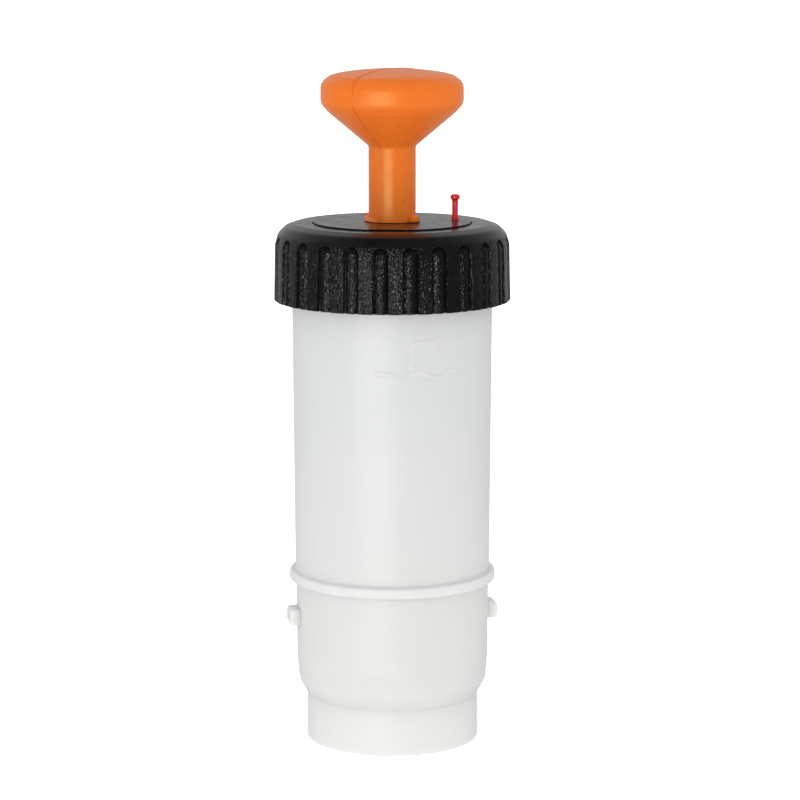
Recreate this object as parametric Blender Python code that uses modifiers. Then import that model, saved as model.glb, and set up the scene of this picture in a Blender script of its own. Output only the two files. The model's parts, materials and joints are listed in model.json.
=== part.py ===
"""Hand vacuum pump: a mushroom-handled piston pump hung inside a translucent vessel.

The vessel stands on its spigot. A fluted union nut clamps the pump head on the
vessel's threaded mouth, the barrel hangs from the head into the vessel's floor, and
a red pin on the head lets the vacuum off. The origin is the centre of the spigot's
lower face, Z runs up the pump's axis, and -Y is its front. All sizes below are in
millimetres, and the helper functions turn them into metres.
"""
import math

import bmesh
import bpy
from mathutils import Matrix, Vector

MM = 0.001

# Vessel
VESSEL_TOP = 214.1
VESSEL_TOP_RADIUS = 42.4
VESSEL_WAIST_RADIUS = 41.55
VESSEL_LOWER_RADIUS = 41.15
VESSEL_BORE_TOP = 39.4
VESSEL_BORE_LOW = 38.5
RING_RADIUS = 44.05
RING_BOTTOM = 69.3
RING_TOP = 73.7
SPIGOT_RADIUS = 36.9
SPIGOT_BORE = 34.3
SHOULDER_BOTTOM = 19.4
SHOULDER_TOP = 35.0
FLOOR_UNDERSIDE = 14.0
FLOOR_TOP = 16.8
FLOOR_HOLE = 9.6
LUG_TIP_RADIUS = 45.2
LUG_WIDTH = 12.0
LUG_HEIGHT = 7.2
LUG_CENTRE_HEIGHT = 54.2
LUG_AZIMUTHS = (-80.0, 100.0)

# Screw thread between the vessel and the union nut
THREAD_PITCH = 6.0
THREAD_CORE = 41.8
THREAD_CREST = 43.6
NUT_BORE = 44.9
NUT_THREAD_CREST = 42.9
THREAD_START = 194.5
THREAD_RIDGE = 1.8

# Union nut
NUT_RADIUS = 50.0
NUT_BOTTOM = 189.9
NUT_TOP = 222.4
NUT_LIP_RADIUS = 33.8
NUT_LIP_UNDERSIDE = 219.8
FLUTES = 25
FLUTE_WIDTH = 6.75
FLUTE_FLOOR_WIDTH = 2.8
FLUTE_FLOOR_RADIUS = 47.7
FLUTE_TOP = 218.0
FLUTE_AZIMUTH = -5.5
FLUTE_OVERRUN = 2.0

# Pump head
DISC_TOP = 223.0
DISC_RADIUS = 33.35
FLANGE_RADIUS = 44.3
FLANGE_TOP = 219.5
FLANGE_BOTTOM = 216.5
NOTCH_WIDTH = 15.0
NOTCH_FLOOR = 219.8
NOTCH_DEPTH = 1.4
NOTCH_AZIMUTH = -4.5
PIN_HOLE_RADIUS = 1.8
CAGE_SOCKET_RADIUS = 4.9

# Barrel, rod and piston
BARREL_BORE = 14.7
BARREL_RADIUS = 16.5
BARREL_TOP = 212.0
BARREL_BOTTOM = 21.3
ROD_RADIUS = 5.0
STUD_RADIUS = 3.0
ROD_SHOULDER = 62.5
PISTON_RADIUS = 14.2
PORTS = 6

# Handle
HANDLE_FOOT = 223.3
HANDLE_APEX = 287.1
KNOB_RADIUS = 30.3
NECK_RADIUS = 10.0
CROWN_RADIUS = 22.5
CROWN_DROP = 1.35
CROWN_POWER = 2.6
FOOT_LUG_SPAN = 25.4
FOOT_LUG_WIDTH = 4.2
FOOT_LUG_HEIGHT = 3.2
FOOT_LUG_AZIMUTH = 55.0

# Relief pin
PIN_X = 26.6
PIN_Y = 5.7
PIN_TOP = 233.8

# Turning steps: small pieces, mid-size pieces and large shells
COARSE, MEDIUM, FINE = 16, 24, 36


def clear_scene():
    for old in list(bpy.data.objects):
        bpy.data.objects.remove(old, do_unlink=True)


def new_collection(name):
    collection = bpy.data.collections.new(name)
    bpy.context.scene.collection.children.link(collection)
    return collection


def new_material(name, colour, roughness, metallic=0.0):
    material = bpy.data.materials.new(name)
    material.use_nodes = True
    shader = material.node_tree.nodes["Principled BSDF"]
    shader.inputs["Base Color"].default_value = (*colour, 1.0)
    shader.inputs["Roughness"].default_value = roughness
    shader.inputs["Metallic"].default_value = metallic
    return material


def place(mesh, name, collection, material=None, location=(0, 0, 0)):
    """Puts a mesh in the scene as a named object, with its origin at location in mm."""
    item = bpy.data.objects.new(name, mesh)
    item.location = Vector(location) * MM
    collection.objects.link(item)
    if material:
        mesh.materials.append(material)
    return item


def turned(name, outline, collection, material=None, steps=MEDIUM, location=(0, 0, 0)):
    """A piece turned about Z from (radius, height) points in mm.

    The outline runs down the piece's outer side. It starts and ends on the axis for a
    solid piece, and otherwise closes on itself around the wall of a hollow one.
    """
    mesh = bpy.data.meshes.new(name)
    points = [(radius * MM, 0.0, height * MM) for radius, height in outline]
    edges = [(i, i + 1) for i in range(len(points) - 1)]
    if outline[0][0] > 0:
        edges.append((len(points) - 1, 0))
    mesh.from_pydata(points, edges, [])
    item = place(mesh, name, collection, material, location)
    screw = item.modifiers.new("turn", "SCREW")
    screw.steps = steps
    screw.render_steps = steps
    screw.use_merge_vertices = True
    screw.merge_threshold = 0.00001
    screw.use_smooth_shade = True
    return item


def arc(centre, radius, start, end, points=4):
    """Points on an arc about (radius, height) centre, with angles in degrees from +R."""
    angles = [math.radians(start + (end - start) * i / (points - 1)) for i in range(points)]
    return [(centre[0] + radius * math.cos(a), centre[1] + radius * math.sin(a)) for a in angles]


def ring(inner, outer, bottom, top):
    """The outline of a plain ring, down its outer side and up its inner one."""
    return [(outer, top), (outer, bottom), (inner, bottom), (inner, top)]


def round_section(middle, height, thickness, points=8):
    """The outline of an O-ring: a circle of the given thickness, run clockwise."""
    return arc((middle, height), thickness / 2, 90, 90 - 360 * (points - 1) / points, points)


def at_azimuth(azimuth, radius, height):
    """A point at an azimuth in degrees from the front (-Y) towards +X."""
    angle = math.radians(azimuth)
    return Vector((radius * math.sin(angle), -radius * math.cos(angle), height))


def hide_tool(item):
    item.hide_render = True
    item.display_type = "WIRE"
    return item


def join_or_cut(item, tool, operation):
    modifier = item.modifiers.new(tool.name, "BOOLEAN")
    modifier.object = tool
    modifier.operation = operation
    modifier.solver = "EXACT"


def drills(name, spots, radius, bottom, top, tools, segments=12):
    """Upright drills of one radius, at (x, y) spots in mm, as one cutter."""
    shape = bmesh.new()
    for x, y in spots:
        middle = Matrix.Translation(Vector((x, y, (bottom + top) / 2)) * MM)
        bmesh.ops.create_cone(shape, cap_ends=True, segments=segments, radius1=radius * MM,
                              radius2=radius * MM, depth=(top - bottom) * MM, matrix=middle)
    mesh = bpy.data.meshes.new(name)
    shape.to_mesh(mesh)
    shape.free()
    return hide_tool(place(mesh, name, tools))


def circle_of_spots(count, radius):
    turns = [2 * math.pi * i / count for i in range(count)]
    return [(radius * math.cos(a), radius * math.sin(a)) for a in turns]


def block(name, size, centre, azimuth, tools, bevel=0.0):
    """A box turned to an azimuth: size is along the radius, across it, and up, in mm."""
    shape = bmesh.new()
    bmesh.ops.create_cube(shape, size=1.0)
    bmesh.ops.scale(shape, vec=Vector(size) * MM, verts=shape.verts)
    turn = Matrix.Rotation(math.radians(azimuth - 90), 4, "Z")
    bmesh.ops.transform(shape, matrix=Matrix.Translation(Vector(centre) * MM) @ turn, verts=shape.verts)
    mesh = bpy.data.meshes.new(name)
    shape.to_mesh(mesh)
    shape.free()
    item = hide_tool(place(mesh, name, tools))
    if bevel:
        rounding = item.modifiers.new("rounding", "BEVEL")
        rounding.width = bevel * MM
        rounding.segments = 2
    return item


def thread_ridge(name, root, crest, start, turns, tools, steps_per_turn=24):
    """A right-hand helical ridge from root radius to crest radius, tapered at both ends."""
    steps = int(turns * steps_per_turn)
    run_out = steps_per_turn // 6
    half_root = THREAD_RIDGE * 0.6
    half_crest = THREAD_RIDGE * 0.35
    shape = bmesh.new()
    sections = []
    for i in range(steps + 1):
        angle = 2 * math.pi * i / steps_per_turn
        height = start + THREAD_PITCH * i / steps_per_turn
        rise = min(1.0, (i + 0.3) / run_out, (steps - i + 0.3) / run_out)
        reach = root + (crest - root) * rise
        corners = [(root, -half_root), (reach, -half_crest), (reach, half_crest), (root, half_root)]
        turn = Matrix.Rotation(angle, 4, "Z")
        sections.append([shape.verts.new(turn @ (Vector((r, 0, height + z)) * MM)) for r, z in corners])
    for low, high in zip(sections, sections[1:]):
        for i in range(4):
            shape.faces.new((low[i], low[(i + 1) % 4], high[(i + 1) % 4], high[i]))
    shape.faces.new(sections[0])
    shape.faces.new(sections[-1])
    bmesh.ops.recalc_face_normals(shape, faces=shape.faces)
    mesh = bpy.data.meshes.new(name)
    shape.to_mesh(mesh)
    shape.free()
    return hide_tool(place(mesh, name, tools))


def make_vessel(pieces, tools, material):
    """The vessel: spigot, rounded shoulder, stop ring, long tapered wall and threaded neck."""
    shoulder_height = SHOULDER_TOP - SHOULDER_BOTTOM
    shoulder = [(VESSEL_LOWER_RADIUS - 4.4 * (1 - math.cos(a)), SHOULDER_TOP - shoulder_height * math.sin(a))
                for a in (0.25, 0.6, 0.95, 1.25, math.pi / 2)]
    bore_shoulder = [(VESSEL_BORE_LOW - 4.4 * (1 - math.cos(a)), SHOULDER_TOP - shoulder_height * math.sin(a))
                     for a in (math.pi / 2, 1.25, 0.8, 0.3)]
    outer = [(41.3, VESSEL_TOP), (THREAD_CORE, VESSEL_TOP - 0.5), (THREAD_CORE, 191.4),
             (VESSEL_TOP_RADIUS, 190.8), (VESSEL_WAIST_RADIUS, RING_TOP + 2.0)]
    stop_ring = [(42.3, RING_TOP), *arc((RING_RADIUS - 1.1, RING_TOP - 1.1), 1.1, 80, 0, 3),
                 *arc((RING_RADIUS - 1.1, RING_BOTTOM + 1.1), 1.1, 0, -80, 3),
                 (VESSEL_LOWER_RADIUS, RING_BOTTOM)]
    spigot = [(SPIGOT_RADIUS, 0.9), (SPIGOT_RADIUS - 0.8, 0.0), (SPIGOT_BORE + 0.3, 0.0),
              (SPIGOT_BORE - 0.2, FLOOR_UNDERSIDE)]
    floor = [(FLOOR_HOLE, FLOOR_UNDERSIDE), (FLOOR_HOLE, 15.0), (12.4, 15.0), (12.4, FLOOR_TOP),
             (33.6, FLOOR_TOP)]
    bore = [(VESSEL_BORE_TOP, VESSEL_TOP - 0.4), (VESSEL_BORE_TOP + 0.4, VESSEL_TOP)]
    outline = outer + stop_ring + shoulder + spigot + floor + bore_shoulder + bore
    body = turned("vessel_body", outline, pieces, material, steps=FINE)
    ridge = thread_ridge("vessel_thread", THREAD_CORE - 0.6, THREAD_CREST, THREAD_START, 2.0, tools)
    join_or_cut(body, ridge, "UNION")
    for number, azimuth in enumerate(LUG_AZIMUTHS, 1):
        depth = LUG_TIP_RADIUS - VESSEL_BORE_LOW - 1.0
        centre = at_azimuth(azimuth, LUG_TIP_RADIUS - depth / 2, LUG_CENTRE_HEIGHT)
        size = (depth, LUG_WIDTH, LUG_HEIGHT)
        lug = block("bayonet_lug_%d" % number, size, centre, azimuth, tools, bevel=0.9)
        join_or_cut(body, lug, "UNION")
    return body


def make_flute_cutter(tools):
    """All flutes as one cutter: each is a tapered slot with a half-round upper end."""
    mouth_reach = NUT_RADIUS + FLUTE_OVERRUN
    taper = (FLUTE_WIDTH - FLUTE_FLOOR_WIDTH) / 2 / (NUT_RADIUS - 0.4 - FLUTE_FLOOR_RADIUS)
    floor_radius = FLUTE_FLOOR_WIDTH / 2
    mouth_radius = floor_radius + taper * (mouth_reach - FLUTE_FLOOR_RADIUS)
    upper_centre = FLUTE_TOP - FLUTE_WIDTH / 2
    shape = bmesh.new()
    for i in range(FLUTES):
        azimuth = FLUTE_AZIMUTH + 360 * i / FLUTES
        outward = at_azimuth(azimuth, 1, 0).to_track_quat("Z", "Y").to_matrix().to_4x4()
        slot = bmesh.new()
        for height in (NUT_BOTTOM - 10, upper_centre):
            for radius, reach in ((floor_radius, FLUTE_FLOOR_RADIUS), (mouth_radius, mouth_reach)):
                centre = Matrix.Translation(at_azimuth(azimuth, reach, height) * MM)
                bmesh.ops.create_circle(slot, segments=10, radius=radius * MM, matrix=centre @ outward)
        hull = bmesh.ops.convex_hull(slot, input=slot.verts)
        bmesh.ops.delete(slot, geom=hull["geom_interior"], context="VERTS")
        inner_edges = [edge for edge in slot.edges if not edge.link_faces]
        bmesh.ops.delete(slot, geom=inner_edges, context="EDGES")
        mesh = bpy.data.meshes.new("slot")
        slot.to_mesh(mesh)
        slot.free()
        shape.from_mesh(mesh)
        bpy.data.meshes.remove(mesh)
    bmesh.ops.recalc_face_normals(shape, faces=shape.faces)
    mesh = bpy.data.meshes.new("flute_cutter")
    shape.to_mesh(mesh)
    shape.free()
    return hide_tool(place(mesh, "flute_cutter", tools))


def make_union_nut(pieces, tools, black, steel):
    """The fluted nut, with its lip over the head's flange and a spring ring under it."""
    crown = [(NUT_LIP_RADIUS + 0.3, NUT_TOP), (40.8, NUT_TOP), (43.6, 221.8), (46.2, 220.3), (47.9, 218.2),
             (49.0, 215.9), (49.5, 213.6)]
    skirt = [(NUT_RADIUS, NUT_BOTTOM + 0.6), (NUT_RADIUS - 0.5, NUT_BOTTOM), (NUT_BORE + 0.5, NUT_BOTTOM),
             (NUT_BORE, NUT_BOTTOM + 0.5)]
    bead = [(NUT_BORE, 213.4), (NUT_BORE - 0.7, 213.9), (NUT_BORE - 0.7, 214.5), (NUT_BORE, 214.9)]
    lip = [(NUT_BORE, NUT_LIP_UNDERSIDE), (NUT_LIP_RADIUS + 0.3, NUT_LIP_UNDERSIDE),
           (NUT_LIP_RADIUS, NUT_LIP_UNDERSIDE + 0.3), (NUT_LIP_RADIUS, NUT_TOP - 0.3)]
    nut = turned("union_nut", crown + skirt + bead + lip, pieces, black, steps=48)
    ridge = thread_ridge("nut_thread", NUT_BORE + 0.6, NUT_THREAD_CREST, THREAD_START - THREAD_PITCH / 2,
                         1.5, tools)
    join_or_cut(nut, ridge, "UNION")
    join_or_cut(nut, make_flute_cutter(tools), "DIFFERENCE")
    turned("captive_ring", ring(43.4, 44.55, 215.3, 216.1), pieces, steel, steps=MEDIUM)


def make_pump_head(pieces, tools, black):
    """The head: a flat disc with a flange, a plug skirt, a barrel socket and a rod hub."""
    disc = [(DISC_RADIUS - 0.4, DISC_TOP), (DISC_RADIUS, DISC_TOP - 0.4), (DISC_RADIUS, FLANGE_TOP)]
    flange = [(FLANGE_RADIUS, FLANGE_TOP), (FLANGE_RADIUS, FLANGE_BOTTOM), (38.8, FLANGE_BOTTOM)]
    skirt = [(38.8, 208.6), (38.4, 208.0), (36.4, 208.0), (36.4, FLANGE_BOTTOM)]
    socket = [(20.2, FLANGE_BOTTOM), (20.2, 206.5), (18.7, 206.5), (18.7, 215.0)]
    hub = [(11.5, 215.0), (11.5, 208.0), (8.9, 208.0), (8.9, 219.9), (9.4, 219.9), (9.4, DISC_TOP)]
    head = turned("pump_head", disc + flange + skirt + socket + hub, pieces, black, steps=FINE)
    pin_spot = [(PIN_X, PIN_Y)]
    join_or_cut(head, drills("pin_hole", pin_spot, PIN_HOLE_RADIUS, 210, 230, tools), "DIFFERENCE")
    socket_tool = drills("cage_socket", pin_spot, CAGE_SOCKET_RADIUS, 210, FLANGE_TOP, tools, segments=20)
    join_or_cut(head, socket_tool, "DIFFERENCE")
    notch_size = (6.0, NOTCH_WIDTH, 6.0)
    notch_centre = at_azimuth(NOTCH_AZIMUTH, DISC_RADIUS - NOTCH_DEPTH + 3.0, NOTCH_FLOOR + 3.0)
    join_or_cut(head, block("exhaust_notch", notch_size, notch_centre, NOTCH_AZIMUTH, tools), "DIFFERENCE")
    duct_centre = at_azimuth(NOTCH_AZIMUTH, 26.5, 220.6)
    duct = block("exhaust_duct", (25.0, 2.4, 2.0), duct_centre, NOTCH_AZIMUTH, tools)
    join_or_cut(head, duct, "DIFFERENCE")
    rise = at_azimuth(NOTCH_AZIMUTH, 15.2, 0)
    join_or_cut(head, drills("exhaust_rise", [(rise.x, rise.y)], 1.2, 210, 221.4, tools), "DIFFERENCE")


def make_barrel(pieces, white, black, rubber):
    """The pump barrel, the nut that holds its flange in the head, and their seals."""
    outline = [(18.4, BARREL_TOP), (18.4, 209.5), (BARREL_RADIUS, 209.5), (BARREL_RADIUS, BARREL_BOTTOM),
               (BARREL_BORE, BARREL_BOTTOM), (BARREL_BORE, BARREL_TOP)]
    turned("barrel", outline, pieces, white, steps=MEDIUM)
    nut = [(22.2, 214.5), (22.2, 203.9), (21.6, 203.3), (16.8, 203.3), (16.8, 209.2), (18.4, 209.2),
           (18.4, 206.2), (20.5, 206.2), (20.5, 214.5)]
    turned("barrel_nut", nut, pieces, black, steps=MEDIUM)
    turned("barrel_o_ring", round_section(16.9, 213.5, 2.4), pieces, rubber, steps=MEDIUM)
    turned("head_gasket", ring(39.9, 42.9, 214.4, 216.2), pieces, rubber, steps=MEDIUM)


def make_rod_guide(pieces, white, rubber):
    """The bush that guides the rod in the head, and the wiper above it."""
    bush = [(8.6, 219.6), (8.6, 207.7), (11.2, 207.7), (11.2, 205.3), (5.3, 205.3), (5.3, 219.6)]
    turned("guide_bush", bush, pieces, white, steps=COARSE)
    wiper = [(9.1, 222.6), (9.1, 220.2), (5.7, 220.2), (5.3, 221.0), (6.6, 221.5), (5.3, 222.6)]
    turned("rod_wiper", wiper, pieces, rubber, steps=COARSE)


def make_foot_valve(pieces, tools, black, white, rubber):
    """The inlet valve on the barrel's foot, whose stem passes through the vessel's floor."""
    body = [(14.4, 25.0), (14.4, 21.0), (18.3, 21.0), (18.3, 18.0), (9.2, 18.0), (9.2, 6.0), (7.0, 6.0),
            (7.0, 16.5), (10.2, 19.5), (10.2, 22.4), (2.3, 22.4), (2.3, 25.0)]
    valve_body = turned("foot_valve_body", body, pieces, black, steps=COARSE)
    ports = drills("inlet_ports", circle_of_spots(PORTS, 6.6), 1.5, 21.5, 26.0, tools, segments=10)
    join_or_cut(valve_body, ports, "DIFFERENCE")
    turned("foot_valve_disc", ring(2.4, 10.4, 25.3, 26.9), pieces, rubber, steps=COARSE)
    keeper = [(0, 31.0), (4.3, 31.0), (4.6, 30.6), (4.6, 29.3), (2.0, 29.3), (2.0, 22.1), (2.9, 22.1),
              (2.5, 20.6), (0, 20.6)]
    turned("foot_valve_keeper", keeper, pieces, white, steps=COARSE)
    turned("foot_o_ring", round_section(10.9, 16.5, 2.3), pieces, rubber, steps=COARSE)
    strainer = [(6.7, 12.0), (6.7, 5.7), (9.0, 5.7), (9.0, 4.2), (8.6, 3.8), (0, 3.8)]
    thimble = strainer + [(0, 5.2), (5.3, 5.2), (5.3, 12.0)]
    mesh_cap = turned_cup("intake_strainer", thimble, pieces, white)
    holes = drills("strainer_holes", [(0.0, 0.0)] + circle_of_spots(6, 3.3), 1.1, 3.0, 6.0, tools, segments=8)
    join_or_cut(mesh_cap, holes, "DIFFERENCE")


def turned_cup(name, outline, pieces, material, steps=COARSE):
    """A turned cup whose outline touches the axis twice, run from its rim and back to it."""
    first = outline.index(next(point for point in outline if point[0] == 0))
    return turned(name, outline[first + 1:] + outline[:first + 1], pieces, material, steps=steps)


def make_handle(pieces, tools, orange, brass):
    """The mushroom handle, bored from its foot for the rod and its moulded-in insert."""
    crown = [(radius, HANDLE_APEX - CROWN_DROP * (radius / CROWN_RADIUS) ** CROWN_POWER)
             for radius in (0, 9, 16, CROWN_RADIUS)]
    rim = [*arc((KNOB_RADIUS - 5.4, 280.2), 5.4, 70, 0, 5), *arc((KNOB_RADIUS - 5.0, 273.2), 5.0, 0, -48, 4)]
    neck = [(13.4, 257.8), (11.6, 255.8), (10.4, 253.4), (NECK_RADIUS, 250.6), (NECK_RADIUS, HANDLE_FOOT)]
    bore = [(5.4, HANDLE_FOOT), (5.4, 226.5), (8.3, 226.5), (8.3, 244.5), (0, 244.5)]
    handle = turned("handle", crown + rim + neck + bore, pieces, orange, steps=FINE)
    lug_depth = FOOT_LUG_SPAN / 2 - NECK_RADIUS + 1.2
    for side, azimuth in (("front", FOOT_LUG_AZIMUTH), ("rear", FOOT_LUG_AZIMUTH + 180)):
        centre = at_azimuth(azimuth, (FOOT_LUG_SPAN - lug_depth) / 2, HANDLE_FOOT + FOOT_LUG_HEIGHT / 2)
        size = (lug_depth, FOOT_LUG_WIDTH, FOOT_LUG_HEIGHT)
        lug = block("foot_lug_" + side, size, centre, azimuth, tools, bevel=0.4)
        join_or_cut(handle, lug, "UNION")
    insert = [(8.0, 244.2), (8.0, 226.8), (4.2, 226.8), (4.2, 244.2)]
    turned("handle_insert", insert, pieces, brass, steps=COARSE)


def make_plunger(pieces, tools, steel, white, rubber):
    """The rod with its piston, the piston's seal and valve, and what clamps them."""
    rod = [(0, 243.5), (3.5, 243.5), (3.9, 243.1), (3.9, 226.5), (ROD_RADIUS, 226.5),
           (ROD_RADIUS, ROD_SHOULDER), (STUD_RADIUS, ROD_SHOULDER), (STUD_RADIUS, 38.9), (2.6, 38.5),
           (0, 38.5)]
    turned("plunger_rod", rod, pieces, steel, steps=COARSE)
    turned("top_buffer", ring(5.3, 9.6, 63.0, 70.0), pieces, rubber, steps=COARSE)
    turned("piston_stop_washer", ring(3.3, 10.5, 60.9, 62.2), pieces, steel, steps=COARSE)
    turned("piston_valve_disc", ring(5.4, 11.4, 57.3, 58.9), pieces, rubber, steps=COARSE)
    outline = [(5.0, 60.6), (5.0, 57.0), (13.6, 57.0), (PISTON_RADIUS, 56.4), (PISTON_RADIUS, 54.6),
               (11.2, 54.6), (11.2, 48.8), (PISTON_RADIUS, 48.8), (PISTON_RADIUS, 47.6), (13.6, 47.0),
               (3.3, 47.0), (3.3, 60.6)]
    piston = turned("piston", outline, pieces, white, steps=MEDIUM)
    ports = drills("piston_ports", circle_of_spots(PORTS, 8.4), 1.4, 45.0, 59.0, tools, segments=8)
    join_or_cut(piston, ports, "DIFFERENCE")
    cup = [(14.4, 54.3), (14.4, 53.0), (13.9, 51.4), (14.2, 49.1), (11.5, 49.1), (11.5, 54.3), (12.4, 54.3),
           (12.8, 52.6), (13.5, 54.3)]
    turned("piston_cup_seal", cup, pieces, rubber, steps=MEDIUM)
    turned("piston_washer", ring(3.3, 6.6, 45.1, 46.7), pieces, steel, steps=COARSE)
    nut = turned("piston_nut", [(0, 44.8), (5.8, 44.8), (5.8, 40.0), (0, 40.0)], pieces, steel, steps=6)
    join_or_cut(nut, drills("nut_bore", [(0.0, 0.0)], 3.3, 38.0, 47.0, tools, segments=COARSE), "DIFFERENCE")


def make_relief_valve(pieces, tools, red, black, rubber, steel):
    """The red pin, the seal that it carries, its spring and the cage that holds them."""
    spot = (PIN_X, PIN_Y, 0)
    head = [(0, PIN_TOP), (1.2, PIN_TOP - 0.1), (2.05, PIN_TOP - 0.7), (2.05, PIN_TOP - 1.7),
            (1.2, PIN_TOP - 2.4)]
    stem = [(1.15, 224.7), (1.45, 224.3), (1.45, 221.8), (1.2, 221.4), (1.2, 217.1), (2.9, 217.1),
            (2.9, 216.2), (1.2, 216.2), (1.2, 203.2), (0.8, 202.8), (0, 202.8)]
    turned("relief_pin", head + stem, pieces, red, steps=COARSE, location=spot)
    turned("relief_seal", ring(1.5, 3.2, 217.4, 219.2), pieces, rubber, steps=COARSE, location=spot)
    cage = [(4.6, 219.2), (4.6, 204.5), (1.6, 204.5), (1.6, 206.2), (3.6, 206.2), (3.6, 219.2)]
    cup = turned("relief_cage", cage, pieces, black, steps=COARSE, location=spot)
    window = block("cage_window", (2.4, 12.0, 6.0), (PIN_X, PIN_Y, 212.0), 0.0, tools)
    join_or_cut(cup, window, "DIFFERENCE")
    make_relief_spring(pieces, steel)


def make_relief_spring(pieces, steel, turns=5, points_per_turn=10):
    """A compression coil between the cage's floor and the pin's collar."""
    coil_radius, wire_radius, bottom, top = 2.3, 0.3, 206.5, 215.9
    count = turns * points_per_turn + 1
    low, high = bottom + wire_radius, top - wire_radius
    curve = bpy.data.curves.new("relief_spring", "CURVE")
    curve.dimensions = "3D"
    curve.bevel_depth = wire_radius * MM
    curve.bevel_resolution = 1
    curve.use_fill_caps = True
    spline = curve.splines.new("POLY")
    spline.points.add(count - 1)
    for i, point in enumerate(spline.points):
        angle = 2 * math.pi * i / points_per_turn
        height = low + (high - low) * i / (count - 1)
        spot = (coil_radius * math.cos(angle), coil_radius * math.sin(angle), height)
        point.co = (*(Vector(spot) * MM), 1.0)
    curve.materials.append(steel)
    spring = bpy.data.objects.new("relief_spring", curve)
    spring.location = Vector((PIN_X, PIN_Y, 0)) * MM
    pieces.objects.link(spring)


def main():
    clear_scene()
    pieces = new_collection("hand_vacuum_pump")
    tools = new_collection("cutters")
    milky = new_material("milky_plastic", (0.80, 0.81, 0.82), 0.42)
    black = new_material("black_plastic", (0.012, 0.012, 0.013), 0.45)
    orange = new_material("orange_plastic", (0.81, 0.22, 0.022), 0.38)
    red = new_material("red_plastic", (0.72, 0.012, 0.03), 0.35)
    white = new_material("white_plastic", (0.72, 0.72, 0.68), 0.4)
    rubber = new_material("black_rubber", (0.02, 0.02, 0.02), 0.7)
    steel = new_material("stainless_steel", (0.55, 0.55, 0.54), 0.3, metallic=1.0)
    brass = new_material("brass", (0.62, 0.42, 0.16), 0.35, metallic=1.0)
    make_vessel(pieces, tools, milky)
    make_union_nut(pieces, tools, black, steel)
    make_pump_head(pieces, tools, black)
    make_barrel(pieces, white, black, rubber)
    make_rod_guide(pieces, white, rubber)
    make_foot_valve(pieces, tools, black, white, rubber)
    make_handle(pieces, tools, orange, brass)
    make_plunger(pieces, tools, steel, white, rubber)
    make_relief_valve(pieces, tools, red, black, rubber, steel)


main()
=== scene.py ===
"""Looks of the hand vacuum pump: detailed shells, materials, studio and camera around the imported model."""
import json
import math

import bmesh
import bpy
from mathutils import Matrix, Vector


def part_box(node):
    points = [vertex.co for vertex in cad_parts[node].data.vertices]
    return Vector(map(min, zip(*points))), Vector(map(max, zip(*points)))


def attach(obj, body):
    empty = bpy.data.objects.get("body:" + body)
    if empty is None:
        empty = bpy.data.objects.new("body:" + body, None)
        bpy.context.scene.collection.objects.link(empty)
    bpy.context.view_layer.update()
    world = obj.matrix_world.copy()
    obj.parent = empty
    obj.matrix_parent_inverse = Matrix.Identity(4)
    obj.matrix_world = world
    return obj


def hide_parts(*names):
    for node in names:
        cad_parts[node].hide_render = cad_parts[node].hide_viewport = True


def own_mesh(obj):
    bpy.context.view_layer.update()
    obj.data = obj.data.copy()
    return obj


# Lengths are in mm. Azimuths are in degrees from the front (-Y) towards +X.
MM = 0.001

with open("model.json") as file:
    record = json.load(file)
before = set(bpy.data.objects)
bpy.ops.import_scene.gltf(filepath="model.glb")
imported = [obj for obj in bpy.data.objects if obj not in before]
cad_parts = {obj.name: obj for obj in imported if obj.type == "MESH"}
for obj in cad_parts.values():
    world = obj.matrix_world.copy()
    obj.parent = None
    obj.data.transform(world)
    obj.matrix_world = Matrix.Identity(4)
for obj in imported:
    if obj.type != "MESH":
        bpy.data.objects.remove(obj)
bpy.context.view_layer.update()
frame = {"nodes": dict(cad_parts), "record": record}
nodes = frame["nodes"]
slot_of = {entry["node"]: entry["material_slot"] for entry in frame["record"]["subparts"]}
bodies = frame["record"]["behaviour"]["bodies"]
body_of = {node: body for body, members in bodies.items() for node in members}


# ---------------------------------------------------------------- outlines and turned pieces

def rounded(points, steps=5):
    """(radius, height, fillet) corners in mm as a smooth outline; a corner without a fillet stays sharp."""
    smooth = []
    for i, point in enumerate(points):
        here = Vector(point[:2])
        fillet = point[2] if len(point) > 2 else 0.0
        if not fillet or i in (0, len(points) - 1):
            smooth.append(tuple(here))
            continue
        back = Vector(points[i - 1][:2]) - here
        ahead = Vector(points[i + 1][:2]) - here
        half = back.angle(ahead, 0.0) / 2
        reach = min(fillet / max(math.tan(half), 0.001), back.length * 0.49, ahead.length * 0.49)
        start = here + back.normalized() * reach
        end = here + ahead.normalized() * reach
        for k in range(steps + 1):
            t = k / steps
            smooth.append(tuple(start * (1 - t) ** 2 + here * 2 * t * (1 - t) + end * t * t))
    return smooth


def refined(outline, longest, shortest=None, fine=None):
    """The outline in steps of at most longest mm, or shortest mm where fine(radius, height) holds."""
    rows = [outline[0]]
    for low, high in zip(outline, outline[1:]):
        step = shortest if fine and fine(*low) and fine(*high) else longest
        count = max(1, math.ceil(math.dist(low, high) / step))
        for k in range(1, count + 1):
            rows.append(tuple(a + (b - a) * k / count for a, b in zip(low, high)))
    return rows


def even_angles(count):
    """That many mesh angles about Z, in radians."""
    return [2 * math.pi * i / count for i in range(count)]


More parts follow.
